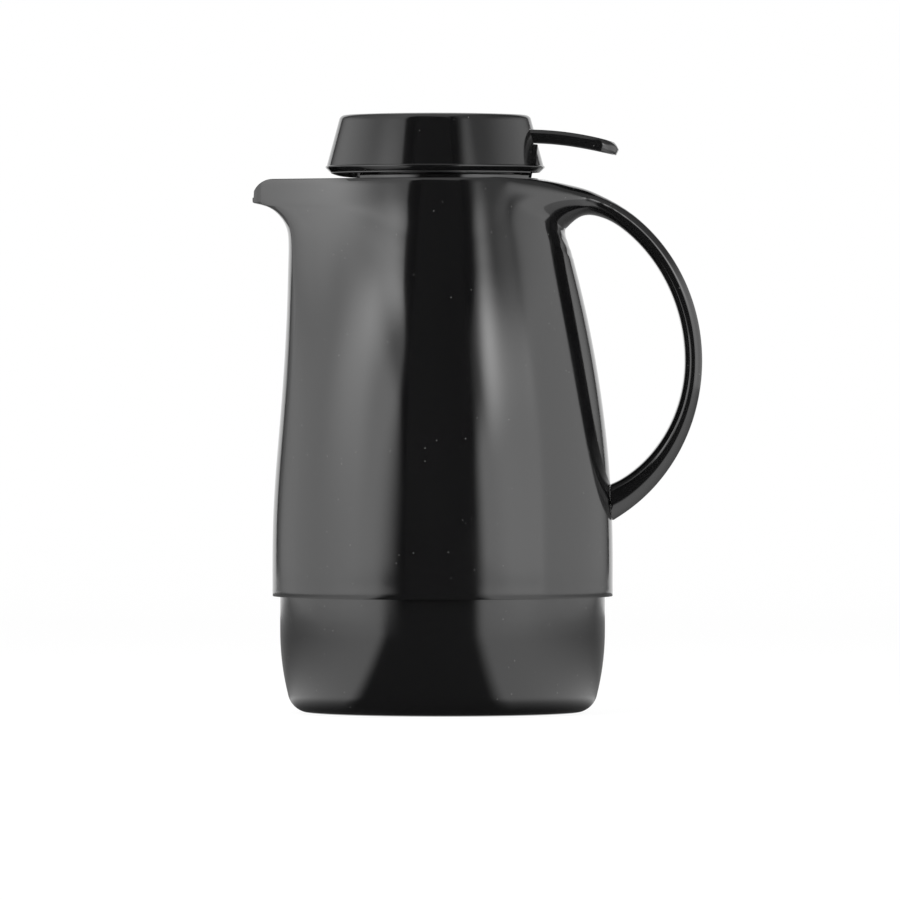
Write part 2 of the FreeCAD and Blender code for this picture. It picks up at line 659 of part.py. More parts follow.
pieces = {
    "jacket": jacket,
    "base_cup": base_cup,
    "glass_outer_wall": glass_outer_wall,
    "glass_inner_wall": glass_inner_wall,
    "glass_spacers": glass_spacers,
    "neck_gasket": neck_gasket,
    "insert_cushion": insert_cushion,
    "base_seal": base_seal,
    "handle_screw": handle_screw,
    "stopper": stopper,
    "stopper_seal": stopper_seal,
    "hinge_pin": hinge_pin,
    "closing_spring": closing_spring,
    "cap_shell": cap_shell,
    "thumb_lever": thumb_lever,
    "cap_base": cap_base,
    "pour_seal": pour_seal,
    "seal_retainer": seal_retainer,
    "cap_screws": Part.makeCompound(cap_screws),
    "lever_screws": Part.makeCompound(lever_screws),
}
os.makedirs("parts", exist_ok=True)
for name, shape in pieces.items():
    shape.exportStep("parts/" + name + ".step")
    print(name, shape.isValid(), len(shape.Solids), round(shape.Volume / 1000, 2), "cm3")
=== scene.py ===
import json
import math

import bmesh
import bpy
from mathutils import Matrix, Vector


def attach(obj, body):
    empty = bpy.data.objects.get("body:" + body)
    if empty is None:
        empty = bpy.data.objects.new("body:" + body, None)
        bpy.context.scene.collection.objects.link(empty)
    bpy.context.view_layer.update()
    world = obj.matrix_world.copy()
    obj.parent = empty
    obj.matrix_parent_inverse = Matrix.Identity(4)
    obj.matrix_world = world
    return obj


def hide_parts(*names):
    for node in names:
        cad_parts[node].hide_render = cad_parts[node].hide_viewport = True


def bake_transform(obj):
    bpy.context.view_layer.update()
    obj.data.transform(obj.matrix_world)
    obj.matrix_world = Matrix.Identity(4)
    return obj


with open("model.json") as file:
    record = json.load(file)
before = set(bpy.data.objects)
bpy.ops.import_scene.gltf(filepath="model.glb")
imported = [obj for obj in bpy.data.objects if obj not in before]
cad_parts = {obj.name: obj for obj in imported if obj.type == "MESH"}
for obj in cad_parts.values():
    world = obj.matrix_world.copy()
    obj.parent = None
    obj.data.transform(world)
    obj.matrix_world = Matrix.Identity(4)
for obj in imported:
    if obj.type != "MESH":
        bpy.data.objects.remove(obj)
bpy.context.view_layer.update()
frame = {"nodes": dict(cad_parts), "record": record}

MM = 0.001

# Sizes of the jug in millimetres and degrees

# Round wall of the jacket, which leans in from LEAN_Z upwards
BODY_R = 66.5
DECK_Z = 208.0
SEAM_Z = 45.2
WALL = 2.4
LEAN_Z = 60.0
LEAN_RADIUS = 450.0
LEAN = math.radians(14.15)
NECK_RIM = 9.2
FREE_GAP = 0.4

# Keel and lip
KEEL_Z = 100.0
NOSE_R = 9.0
LIP_OUT = 31.0
LIP_CURVE = 14.0
LIP_ROUND = 8.0
LIP_WALL = 3.8
LIP_MOUTH = 4.2
LIP_Z = DECK_Z - 9.0
LIP_MID_Z = LIP_Z - LIP_CURVE - 0.5
LIP_TURN = math.radians(75)
TROUGH_Z = DECK_Z - 7.2

# Handle: its outer curve is part of an ellipse, with angles counted from its right end
HANDLE_TOP_Z = DECK_Z - 0.6
HANDLE_FOOT_Z = 72.0
HANDLE_OUT = 34.7
HANDLE_HALF_X = 65.1
HANDLE_HALF_Z = (HANDLE_TOP_Z - HANDLE_FOOT_Z) / 1.93
HANDLE_X = BODY_R + HANDLE_OUT - HANDLE_HALF_X
HANDLE_Z = HANDLE_TOP_Z - HANDLE_HALF_Z
GRIP_T = 6.8
GRIP_W = 22.0
ROOT_GAIN = 13.0
ROOT_DEG = 76.0
RISE_DEG = 30.0
RISE_POWER = 10.5
ROOT_FLARE = 5.2
FLARE_DEG = 45.0
FOOT_GAIN = 6.5
FOOT_DEG = 62.0
END_DEGS = (-74.0, -36.0)

# Rounding of the skin: the blunt front under the lip, the handle's corners and the tuck at its root
FRONT_BLOCK = 80.0
FRONT_ROUND = 0.3
SKIN_IN = 0.12
CORNER_SOFT = 0.84
ROOT_TUCK = 0.4
TUCK_DEGS = (50.0, 80.0)


def smooth_share(value, low, high):
    """Smooth step from 0 at low to 1 at high."""
    t = min(max((value - low) / (high - low), 0), 1)
    return t * t * (3 - 2 * t)


def halved(low, high, rounds, is_low):
    """Low and high end of a span, narrowed round the place where is_low stops being true."""
    for _ in range(rounds):
        middle = (low + high) / 2
        if is_low(middle):
            low = middle
        else:
            high = middle
    return low, high


def wall_r(z):
    """Outside radius of the round part of the jacket at height z."""
    cone_z = LEAN_Z + LEAN_RADIUS * math.sin(LEAN)
    if z <= LEAN_Z:
        return BODY_R
    if z < cone_z:
        return BODY_R - LEAN_RADIUS + math.sqrt(LEAN_RADIUS**2 - (z - LEAN_Z) ** 2)
    return BODY_R - LEAN_RADIUS * (1 - math.cos(LEAN)) - (z - cone_z) * math.tan(LEAN)


TOP_R = wall_r(DECK_Z)
BORE_R = TOP_R - NECK_RIM
LIP_REACH = TOP_R + LIP_OUT


def keel_reach(z):
    """Front edge of the jacket in the middle plane."""
    if z <= KEEL_Z:
        return wall_r(z)
    if z < LIP_MID_Z:
        span = LIP_MID_Z - KEEL_Z
        t = (z - KEEL_Z) / span
        slope = -(KEEL_Z - LEAN_Z) / LEAN_RADIUS
        start = wall_r(KEEL_Z) * (2 * t**3 - 3 * t**2 + 1)
        lean = slope * span * (t**3 - 2 * t**2 + t)
        return start + lean + (LIP_REACH - LIP_CURVE) * (3 * t**2 - 2 * t**3)
    turn_z = LIP_MID_Z + LIP_CURVE * math.sin(LIP_TURN)
    if z <= turn_z:
        return LIP_REACH - math.sqrt(LIP_CURVE**2 - (z - LIP_MID_Z) ** 2)
    if z < LIP_Z:
        return LIP_REACH - LIP_CURVE * math.cos(LIP_TURN) * (LIP_Z - z) / (LIP_Z - turn_z)
    return LIP_REACH


def nose_at(z):
    """Nose radius of the keel, from that of the wall at its foot to that of the lip."""
    share = min(max((z - KEEL_Z) / (LIP_Z - KEEL_Z), 0), 1) ** 2
    return wall_r(z) - (wall_r(z) - NOSE_R) * share


def egg_radius(turn, r, reach, nose):
    """Polar radius of the hull of the round wall and the nose, at an angle from the spout."""
    if reach - r < 0.001:
        return r
    shift = reach - nose
    flank = math.acos((r - nose) / shift)
    nose_end = math.atan2(nose * math.sin(flank), shift + nose * math.cos(flank))
    if turn >= flank:
        return r
    if turn > nose_end:
        return r / math.cos(flank - turn)
    return shift * math.cos(turn) + math.sqrt(nose**2 - (shift * math.sin(turn)) ** 2)


def skin(turn, z):
    """Point on the jacket's outside: round wall and keel, then flat flanks with a blunt front."""
    a = abs(turn)
    r = wall_r(z)
    reach = keel_reach(z)
    keel = egg_radius(a, r, reach, nose_at(z))
    flank = egg_radius(a, r, LIP_REACH, NOSE_R)
    if reach < LIP_REACH and a < math.pi / 2:
        front = reach**-FRONT_BLOCK - LIP_REACH**-FRONT_BLOCK
        front *= math.cos(a) ** (FRONT_BLOCK * FRONT_ROUND)
        flank = (flank**-FRONT_BLOCK + front) ** (-1 / FRONT_BLOCK)
    q = keel + (flank - keel) * smooth_share(z, KEEL_Z, LIP_MID_Z) - SKIN_IN
    return Vector((-q * math.cos(turn), q * math.sin(turn), z))


def handle_point(deg, across, up):
    """Point of the handle's section at an angle; across runs from -2 to 2, up from -1 to 1."""
    a = math.radians(deg)
    edge_x = HANDLE_X + HANDLE_HALF_X * math.cos(a)
    edge_z = HANDLE_Z + HANDLE_HALF_Z * math.sin(a)
    out = Vector((math.cos(a) / HANDLE_HALF_X, 0, math.sin(a) / HANDLE_HALF_Z)).normalized()
    rise = (max(0, min(deg, ROOT_DEG) - RISE_DEG) / (ROOT_DEG - RISE_DEG)) ** RISE_POWER
    thick = GRIP_T + ROOT_GAIN * rise + FOOT_GAIN * max(0, -deg / FOOT_DEG) ** 2
    flare = max(0, deg - FLARE_DEG) / (ROOT_DEG - FLARE_DEG)
    half = GRIP_W / 2 + ROOT_FLARE * flare**2
    corner = abs(across) == 2
    tuck = ROOT_TUCK * smooth_share(deg, *TUCK_DEGS) if corner else 0.0
    top = CORNER_SOFT if corner else 1.0
    low = top * (2 * tuck - 1)
    level = (low, (top + low) / 2, top)[up + 1]
    side = across / 2 * (CORNER_SOFT if corner and up else 1.0)
    edge = Vector((edge_x, 0, edge_z))
    return edge + out * (thick / 2 * (level - 1)) + Vector((0, half * side, 0))


def handle_end(across, up):
    """Angle at which a line of the handle's section ends, a gap away from the wall."""

    def in_wall(deg):
        p = handle_point(deg, across, up)
        return math.hypot(p.x, p.y) <= wall_r(p.z) + FREE_GAP

    return halved(*END_DEGS, 30, in_wall)[1]


# Mesh helpers, all in millimetres until piece() makes a finished piece


def new_verts(made):
    """The points among what a mesh operator made."""
    return [v for v in made if isinstance(v, bmesh.types.BMVert)]


def at_places(made):
    """The points among what a mesh operator made, by where they are."""
    return {tuple(v.co): v for v in new_verts(made)}


def ring_edges(bm, ring):
    return [bm.edges.get((a, b)) for a, b in zip(ring, ring[1:] + ring[:1])]


def next_ring(bm, ring):
    """Extrudes a closed ring of edges; the new ring keeps the order of the old one."""
    made = bmesh.ops.extrude_edge_only(bm, edges=ring_edges(bm, ring))["geom"]
    at = at_places(made)
    return [at[tuple(v.co)] for v in ring]


def arc(start, mid, end, count):
    """Points of the arc through three points, after start and up to end."""
    (x1, y1), (x2, y2), (x3, y3) = start, mid, end
    d = 2 * (x1 * (y2 - y3) + x2 * (y3 - y1) + x3 * (y1 - y2))
    s1, s2, s3 = x1**2 + y1**2, x2**2 + y2**2, x3**2 + y3**2
    cx = (s1 * (y2 - y3) + s2 * (y3 - y1) + s3 * (y1 - y2)) / d
    cy = (s1 * (x3 - x2) + s2 * (x1 - x3) + s3 * (x2 - x1)) / d
    r = math.hypot(x1 - cx, y1 - cy)
    a1 = math.atan2(y1 - cy, x1 - cx)
    sweep = (math.atan2(y3 - cy, x3 - cx) - a1) % (2 * math.pi)
    if (math.atan2(y2 - cy, x2 - cx) - a1) % (2 * math.pi) > sweep:
        sweep -= 2 * math.pi
    turns = [a1 + sweep * (i + 1) / count for i in range(count)]
    return [(cx + r * math.cos(a), cy + r * math.sin(a)) for a in turns]


def spun(points, steps, x=0.0):
    """Solid of a closed profile of (radius, height) points turned round the upright line at x."""
    bm = bmesh.new()
    verts = [bm.verts.new((r, 0, z)) for r, z in points]
    edges = [bm.edges.new(pair) for pair in zip(verts, verts[1:] + verts[:1])]
    bmesh.ops.spin(
        bm,
        geom=verts + edges,
        axis=(0, 0, 1),
        cent=(0, 0, 0),
        angle=2 * math.pi,
        steps=steps,
        use_merge=True,
    )
    bmesh.ops.remove_doubles(bm, verts=bm.verts, dist=0.001)
    bmesh.ops.delete(bm, geom=[e for e in bm.edges if not e.link_faces], context="EDGES")
    bmesh.ops.recalc_face_normals(bm, faces=bm.faces)
    bmesh.ops.translate(bm, vec=(x, 0, 0), verts=bm.verts)
    return bm


def prism(points, low, high, upright):
    """Closed prism of a flat outline; upright outlines lie in the xz plane and run along y."""
    bm = bmesh.new()
    verts = [bm.verts.new((a, low, b) if upright else (a, b, low)) for a, b in points]
    face = bm.faces.new(verts)
    made = bmesh.ops.extrude_face_region(bm, geom=[face])["geom"]
    way = (0, high - low, 0) if upright else (0, 0, high - low)
    bmesh.ops.translate(bm, vec=way, verts=new_verts(made))
    bmesh.ops.recalc_face_normals(bm, faces=bm.faces)
    return bm


def new_object(bm, name):
    """Object in the scene made of a bmesh, which is used up."""
    mesh = bpy.data.meshes.new(name)
    bm.to_mesh(mesh)
    bm.free()
    obj = bpy.data.objects.new(name, mesh)
    bpy.context.scene.collection.objects.link(obj)
    return obj


def evaluated(obj):
    """Mesh of an object as its modifiers leave it."""
    depsgraph = bpy.context.evaluated_depsgraph_get()
    return bpy.data.meshes.new_from_object(obj.evaluated_get(depsgraph))


def as_bmesh(mesh):
    """Bmesh of a mesh, which is used up."""
    bm = bmesh.new()
    bm.from_mesh(mesh)
    bpy.data.meshes.remove(mesh)
    return bm


def discard(obj):
    mesh = obj.data
    bpy.data.objects.remove(obj)
    bpy.data.meshes.remove(mesh)


def cut_away(form, *cutters):
    """Form less its cutters, all given as bmeshes."""
    body = new_object(form, "form")
    tools = [new_object(cutter, "cutter") for cutter in cutters]
    for tool in tools:
        cut = body.modifiers.new("cut", "BOOLEAN")
        cut.operation = "DIFFERENCE"
        cut.solver = "EXACT"
        cut.object = tool
    bm = as_bmesh(evaluated(body))
    for obj in [body] + tools:
        discard(obj)
    bmesh.ops.remove_doubles(bm, verts=bm.verts, dist=0.002)
    bmesh.ops.dissolve_degenerate(bm, edges=bm.edges, dist=0.001)
    return bm


def piece(bm, name, body, slot, replaced, sharp=38):
    """Finished piece in metres, smooth but for its sharp edges; with body None it rides on none."""
    bmesh.ops.scale(bm, vec=(MM, MM, MM), verts=bm.verts)
    for f in bm.faces:
        f.smooth = True
    for e in bm.edges:
        e.smooth = e.calc_face_angle(0.0) < math.radians(sharp)
    obj = new_object(bm, name)
    obj.data.materials.append(FINISHES[slot])
    if body:
        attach(obj, body)
    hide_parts(*replaced)
    return obj


# Node helpers


def link(tree, value, socket):
    """Links a socket to another one, or sets it where the value is a number."""
    if isinstance(value, (int, float)):
        socket.default_value = value
    else:
        tree.links.new(value, socket)


def math_node(tree, kind, *values):
    node = tree.nodes.new("ShaderNodeMath")
    node.operation = kind
    for socket, value in zip(node.inputs, values):
        link(tree, value, socket)
    return node.outputs[0]


def noise(tree, where, scale, detail=2.0):
    node = tree.nodes.new("ShaderNodeTexNoise")
    for label, value in (("Vector", where), ("Scale", scale), ("Detail", detail)):
        link(tree, value, node.inputs[label])
    return node.outputs["Fac"]


def ramp(tree, value, low, high, least=0.0, most=1.0, kind="LINEAR"):
    """Step from least at low to most at high."""
    node = tree.nodes.new("ShaderNodeMapRange")
    node.interpolation_type = kind
    labels = ("Value", "From Min", "From Max", "To Min", "To Max")
    for label, number in zip(labels, (value, low, high, least, most)):
        link(tree, number, node.inputs[label])
    return node.outputs["Result"]


def soft(tree, value, low, high, least=0.0, most=1.0):
    """Smooth step from least at low to most at high."""
    return ramp(tree, value, low, high, least, most, "SMOOTHSTEP")


def mix_colour(tree, factor, a, b):
    node = tree.nodes.new("ShaderNodeMix")
    node.data_type = "RGBA"
    link(tree, factor, node.inputs[0])
    for socket, value in ((node.inputs[6], a), (node.inputs[7], b)):
        if isinstance(value, tuple):
            socket.default_value = (*value, 1)
        else:
            link(tree, value, socket)
    return node.outputs[2]


def new_material(name):
    mat = bpy.data.materials.new(name)
    mat.use_nodes = True
    tree = mat.node_tree
    shader = tree.nodes["Principled BSDF"]
    where = tree.nodes.new("ShaderNodeTexCoord").outputs["Object"]
    return mat, tree, shader, where


# Finishes: all are settings of one moulded surface

SURFACE_SCALES = {"Smudge Scale": 24.0, "Ripple Scale": 240.0, "Dust Scale": 900.0}
SURFACE_VALUES = ("Tone", "Smudge", "Ripple", "Dust")
TONE_SCALE = 9.0
SMUDGE_DETAIL = 5.0
RIPPLE_DETAIL = 1.0
SMUDGE_SPAN = (0.42, 0.72)
GRAIN_SPAN = (0.2, 0.12)
GRAIN_RARE = 0.985
DUST_ROUGH = 0.7


def moulded_group():
    """Moulded surface: slow tone, roughness smudges, a faint ripple and grains of dust."""
    group = bpy.data.node_groups.new("moulded_surface", "ShaderNodeTree")
    sockets = group.interface
    sockets.new_socket("Vector", in_out="INPUT", socket_type="NodeSocketVector")
    for label, scale in SURFACE_SCALES.items():
        socket = sockets.new_socket(label, in_out="INPUT", socket_type="NodeSocketFloat")
        socket.default_value = scale
    for label in SURFACE_VALUES:
        sockets.new_socket(label, in_out="OUTPUT", socket_type="NodeSocketFloat")
    come = group.nodes.new("NodeGroupInput").outputs
    go = group.nodes.new("NodeGroupOutput").inputs
    where = come["Vector"]
    link(group, noise(group, where, TONE_SCALE), go["Tone"])
    smudge = noise(group, where, come["Smudge Scale"], SMUDGE_DETAIL)
    link(group, ramp(group, smudge, *SMUDGE_SPAN), go["Smudge"])
    link(group, noise(group, where, come["Ripple Scale"], RIPPLE_DETAIL), go["Ripple"])
    cells = group.nodes.new("ShaderNodeTexVoronoi")
    link(group, where, cells.inputs["Vector"])
    link(group, come["Dust Scale"], cells.inputs["Scale"])
    near = ramp(group, cells.outputs["Distance"], *GRAIN_SPAN)
    chance = group.nodes.new("ShaderNodeSeparateColor")
    link(group, cells.outputs["Color"], chance.inputs[0])
    few = math_node(group, "GREATER_THAN", chance.outputs[0], GRAIN_RARE)
    link(group, math_node(group, "MULTIPLY", near, few), go["Dust"])
    return group


MOULDED = moulded_group()


def surface(name, tones, rough, ripple=0.0, dust=None, metal=0.0, ior=1.5, smudge_scale=None):
    """Material of the moulded surface: two tones, a range of roughness, ripple depth in metres."""
    mat, tree, shader, where = new_material(name)
    group = tree.nodes.new("ShaderNodeGroup")
    group.node_tree = MOULDED
    link(tree, where, group.inputs["Vector"])
    for label, scale in SURFACE_SCALES.items():
        group.inputs[label].default_value = scale
    if smudge_scale:
        group.inputs["Smudge Scale"].default_value = smudge_scale
    colour = mix_colour(tree, group.outputs["Tone"], *tones)
    finish = ramp(tree, group.outputs["Smudge"], 0.0, 1.0, *rough)
    if dust:
        colour = mix_colour(tree, group.outputs["Dust"], colour, dust)
        dull = math_node(tree, "MULTIPLY", group.outputs["Dust"], DUST_ROUGH)
        finish = math_node(tree, "MAXIMUM", finish, dull)
    link(tree, colour, shader.inputs["Base Color"])
    link(tree, finish, shader.inputs["Roughness"])
    shader.inputs["Metallic"].default_value = metal
    shader.inputs["IOR"].default_value = ior
    if ripple:
        bump = tree.nodes.new("ShaderNodeBump")
        bump.inputs["Strength"].default_value = 1.0
        bump.inputs["Distance"].default_value = ripple
        link(tree, group.outputs["Ripple"], bump.inputs["Height"])
        link(tree, bump.outputs["Normal"], shader.inputs["Normal"])
    return mat


LOOKS = {
    "gloss_black": {
        "tones": ((0.0035, 0.0035, 0.0037), (0.006, 0.006, 0.0062)),
        "rough": (0.085, 0.14),
        "ripple": 0.000004,
        "dust": (0.16, 0.16, 0.155),
        "ior": 1.49,
    },
    "inner_black": {
        "tones": ((0.012, 0.012, 0.0125), (0.02, 0.02, 0.0205)),
        "rough": (0.3, 0.42),
        "ripple": 0.00001,
        "dust": (0.12, 0.12, 0.12),
    },
    "silvered_glass": {
        "tones": ((0.78, 0.79, 0.8), (0.85, 0.86, 0.87)),
        "rough": (0.03, 0.07),
        "metal": 1.0,
    },
    "silicone": {
        "tones": ((0.55, 0.55, 0.53), (0.63, 0.63, 0.61)),
        "rough": (0.5, 0.62),
        "ripple": 0.00002,
    },
    "dark_rubber": {
        "tones": ((0.028, 0.028, 0.028), (0.045, 0.045, 0.044)),
        "rough": (0.62, 0.78),
        "ripple": 0.00004,
    },
    "steel": {
        "tones": ((0.5, 0.5, 0.5), (0.62, 0.62, 0.61)),
        "rough": (0.22, 0.36),
        "metal": 1.0,
        "smudge_scale": 180.0,
    },
    "spacer": {
        "tones": ((0.42, 0.4, 0.36), (0.52, 0.5, 0.46)),
        "rough": (0.75, 0.9),
        "ripple": 0.00005,
    },
}
FINISHES = {slot: surface(slot, **look) for slot, look in LOOKS.items()}
for row in frame["record"]["subparts"]:
    node = frame["nodes"][row["node"]]
    node.data.materials.clear()
    node.data.materials.append(FINISHES[row["material_slot"]])


# Jacket: a cage of quads round the body with the handle drawn out of it, fitted so that its smooth
# surface passes through the measured form, then hollowed. The cage's columns stand at angles in
# degrees from the spout, its rows at one height in front and another at the back.

FRONT_TURNS = (6.5, 13, 18.5, 20, 21.5, 25.5, 29, 33, 40)
SIDE_TURNS = (*FRONT_TURNS, 50, 64, 78, 91, 103, 113, 122.5, 132, 156)
BACK = len(SIDE_TURNS) + 1
COLUMNS = 2 * BACK
FRONT_ROWS = (45.2, 46.6, 51, 62, 80, 100, 120, 140, 158, 173, 184.5, 190.5, 194.5, 197.2, 199, 208)
BACK_ROWS = (45.2, 46.6, 51, 62, 80, 100, 118, 134, 148, 159, 168, 175, 181, 186.5, 197.5, 208)
BACK_TURNS = (30, 90)
END_SCALES = (0.95, 0.86, 0.5)

# The columns round the front are drawn in to the edge of the blunt front below the lip
EDGE_COLUMN = 20.0
EDGE_TURNS = (6.0, 24.0)
EDGE_Z = LIP_MID_Z - 20
EDGE_FADE = (24, 50)

# The rows rise beside the handle's root, and the deck falls a little towards it
ROOT_LIFTS = (0, 0, 0, 0, 0, 0, 0, 0, 0, 0, 1, 2.5, 5.5, 9.5, 4.5, 0)
ROOT_TURNS = (100, 132)
LIFT_POWER = 1.6
ROOT_FALL = 0.5
ROOT_RING = 74.0
UPPER_SHARES = (0, 0.02, 0.045, 0.092, 0.154, 0.223, 0.296, 0.373, 0.454)
HANDLE_SHARES = (*UPPER_SHARES, 0.535, 0.615, 0.696, 0.777, 0.854, 0.919, 0.967, 1)

EDGE_SOFT = 0.22
SEAM_CREASE = 0.75
DECK_CREASE = 0.66
LIP_CREASE = 0.7
HANDLE_CREASE = 0.8
FIT_ROUNDS = 6
FIT_STEP = 0.9
SMOOTH_LEVELS = 3

# Where the skin is evened out at the handle's root: rounds of smoothing within each reach
BLEND_MIDDLE = Vector((53, 0, 198.5))
BLEND_FRONT_X = 38
BLEND_ROUNDS = ((22, 10), (18, 18), (15, 24), (12, 24))


def front_edge_turn(z):
    """Angle in degrees from the spout at which the flat flank meets the blunt front."""

    def on_front(turn):
        front = keel_reach(z) * math.cos(turn) ** -FRONT_ROUND
        return egg_radius(turn, wall_r(z), LIP_REACH, NOSE_R) > front

    low, high = EDGE_TURNS
    return math.degrees(halved(math.radians(low), math.radians(high), 20, on_front)[0])


def column_turn(base, z):
    """Angle of a cage column in radians: those round the front follow the edge of the blunt front."""
    drawn = 1 - front_edge_turn(z) / EDGE_COLUMN if z > EDGE_Z else 0.0
    return math.radians(base * (1 - drawn * (1 - smooth_share(base, *EDGE_FADE))))


def root_lift(base):
    """Share by which the rows rise beside the handle's root, at an angle from the spout."""
    start, full = ROOT_TURNS
    if base >= full:
        return ((180 - base) / (180 - full)) ** LIFT_POWER
    return smooth_share(base, start, full)


def at_root(column):
    """Share by which a cage column belongs to the handle's root."""
    return 1 - smooth_share(abs(column - BACK), 1, 4)


def place(ring, points, aims):
    """Moves a ring to its points, which its smooth surface has to pass through."""
    for v, p in zip(ring, points):
        v.co = p
        aims[v] = Vector(p)


def side_rows(bm, aims):
    """Rings of the cage from the seam up to the deck."""
    bases = [0.0, *SIDE_TURNS, 180.0, *reversed(SIDE_TURNS)]
    signs = [1] * (BACK + 1) + [-1] * (BACK - 1)
    ring = bmesh.ops.create_circle(bm, cap_ends=False, radius=1, segments=COLUMNS)["verts"]
    rows = []
    for front, back, lift in zip(FRONT_ROWS, BACK_ROWS, ROOT_LIFTS):
        if rows:
            ring = next_ring(bm, ring)
        points = []
        for base, sign in zip(bases, signs):
            z = front + (back - front) * smooth_share(base, *BACK_TURNS) + lift * root_lift(base)
            points.append(skin(sign * column_turn(base, z), z))
        place(ring, points, aims)
        rows.append(ring)
    return rows


def close_ends(bm, aims, rows):
    """Closes the cage at the seam and at the deck."""
    for end, level in ((rows[0], SEAM_Z), (rows[-1], DECK_Z)):
        ring = end
        for scale in END_SCALES:
            ring = next_ring(bm, ring)
            fall = ROOT_FALL / 2 if level == DECK_Z and scale == END_SCALES[0] else 0.0
            points = []
            for i, v in enumerate(end):
                points.append((v.co.x * scale, v.co.y * scale, level - fall * at_root(i)))
            place(ring, points, aims)
        bmesh.ops.contextual_create(bm, geom=ring_edges(bm, ring))


def soften_edges(bm, aims, crease, rows):
    """Small rounds along the seam and the deck, and a firm line under the lip."""
    for e in ring_edges(bm, rows[0]):
        e[crease] = SEAM_CREASE
    for i, e in enumerate(ring_edges(bm, rows[-1])):
        e[crease] = DECK_CREASE * smooth_share(abs(i + 0.5 - BACK), 1.5, 4.5)
    for i, e in enumerate(ring_edges(bm, rows[-2])):
        e[crease] = LIP_CREASE * (1 - smooth_share(min(i, COLUMNS - 1 - i), 1, 5))
    for ring, way in ((rows[0], 1), (rows[-1], -1)):
        for i, v in enumerate(ring):
            root = at_root(i) if way < 0 else 0.0
            inward = EDGE_SOFT * (1 - root)
            aims[v] += Vector((0, 0, way * (EDGE_SOFT + ROOT_FALL * root)))
            aims[v] -= Vector((v.co.x, v.co.y, 0)).normalized() * inward


def draw_handle(bm, aims, crease, rows):
    """Draws the eight faces in the middle of the back out into the handle, section by section."""
    grid = {}
    for up, row in zip((-1, 0, 1), rows):
        for across in range(-2, 3):
            grid[across, up] = row[BACK - across]
    ends = {spot: handle_end(*spot) for spot in grid}
    start = {spot: v.co.copy() for spot, v in grid.items()}
    start[0, 1].z -= ROOT_FALL
    for share in (None, *HANDLE_SHARES):
        faces = set(grid[-1, 0].link_faces) | set(grid[1, 0].link_faces)
        at = at_places(bmesh.ops.extrude_face_region(bm, geom=list(faces))["geom"])
        grid = {spot: at[tuple(v.co)] for spot, v in grid.items()}
        bmesh.ops.delete(bm, geom=[f for f in faces if f.is_valid], context="FACES")
        for spot, v in grid.items():
            if share is None:
                v.co = (start[spot] + handle_point(ROOT_RING, *spot)) / 2
            else:
                v.co = handle_point(ROOT_RING + (ends[spot] - ROOT_RING) * share, *spot)
            aims[v] = v.co.copy()
    below = [(across, -1) for across in range(-2, 3)]
    above = [(across, 1) for across in range(2, -3, -1)]
    rim = [*below, (2, 0), *above, (-2, 0)]
    for e in ring_edges(bm, [grid[spot] for spot in rim]):
        e[crease] = HANDLE_CREASE


def jacket_cage():
    """Cage of the jacket's outside with the places that its smooth surface has to pass through."""
    bm = bmesh.new()
    crease = bm.edges.layers.float.new("crease_edge")
    aims = {}
    rows = side_rows(bm, aims)
    close_ends(bm, aims, rows)
    soften_edges(bm, aims, crease, rows)
    draw_handle(bm, aims, crease, rows[-3:])
    bmesh.ops.recalc_face_normals(bm, faces=bm.faces)
    bm.verts.index_update()
    bm.verts.ensure_lookup_table()
    return bm, [aims[v] for v in bm.verts]


def fitted(bm, aims):
    """Smooth form of a cage whose own points are moved until the surface meets the aims."""
    obj = new_object(bm.copy(), "cage")
    mesh = obj.data
    smooth = obj.modifiers.new("smooth", "SUBSURF")
    smooth.levels = smooth.render_levels = 1
    for _ in range(FIT_ROUNDS):
        bm.to_mesh(mesh)
        mesh.update()
        now = evaluated(obj)
        for v, aim in zip(bm.verts, aims):
            v.co += (aim - now.vertices[v.index].co) * FIT_STEP
        bpy.data.meshes.remove(now)
    bm.to_mesh(mesh)
    bm.free()
    smooth.levels = smooth.render_levels = SMOOTH_LEVELS
    form = as_bmesh(evaluated(obj))
    discard(obj)
    return form


def blend_root(bm):
    """Evens out the skin where the handle flows out of the body, most in the middle of its root."""
    for reach, rounds in BLEND_ROUNDS:
        near = []
        for v in bm.verts:
            off = v.co - BLEND_MIDDLE
            if v.co.x > BLEND_FRONT_X and math.hypot(off.x, off.y * 0.6, off.z) < reach:
                near.append(v)
        for _ in range(rounds):
            bmesh.ops.smooth_vert(
                bm,
                verts=near,
                factor=0.5,
                use_axis_x=True,
                use_axis_y=True,
                use_axis_z=True,
            )


def lip_trim():
    """Takes the corner off above the lip, so that the rim's edge rounds down to the tip."""
    past = 4
    round_x = -LIP_REACH + LIP_ROUND
    slope = math.sqrt(0.5) * LIP_ROUND
    mid = (round_x - slope, DECK_Z - LIP_ROUND + slope)
    tip = (-LIP_REACH, DECK_Z - LIP_ROUND)
    points = [(round_x, DECK_Z)] + arc((round_x, DECK_Z), mid, tip, 14)
    points += [(tip[0] - past, tip[1]), (tip[0] - past, DECK_Z + past), (round_x, DECK_Z + past)]
    return prism(points, -30, 30, True)


def pouring_trough():
    """Channel from the neck to the tip of the lip."""
    tip_r = NOSE_R - LIP_WALL
    half = BORE_R * 0.485
    tip_c = NOSE_R - LIP_REACH - LIP_MOUTH
    mouth_c = -BORE_R * 0.765
    lean = math.acos((half - tip_r) / (mouth_c - tip_c))
    near = (mouth_c - half * math.cos(lean), half * math.sin(lean))
    far = (tip_c - tip_r * math.cos(lean), tip_r * math.sin(lean))
    near_low = (near[0], -near[1])
    far_low = (far[0], -far[1])
    points = [near, far] + arc(far, (tip_c - tip_r, 0), far_low, 20)
    points += [near_low] + arc(near_low, (mouth_c + half, 0), near, 30)[:-1]
    return prism(points, TROUGH_Z, DECK_Z + 6, False)


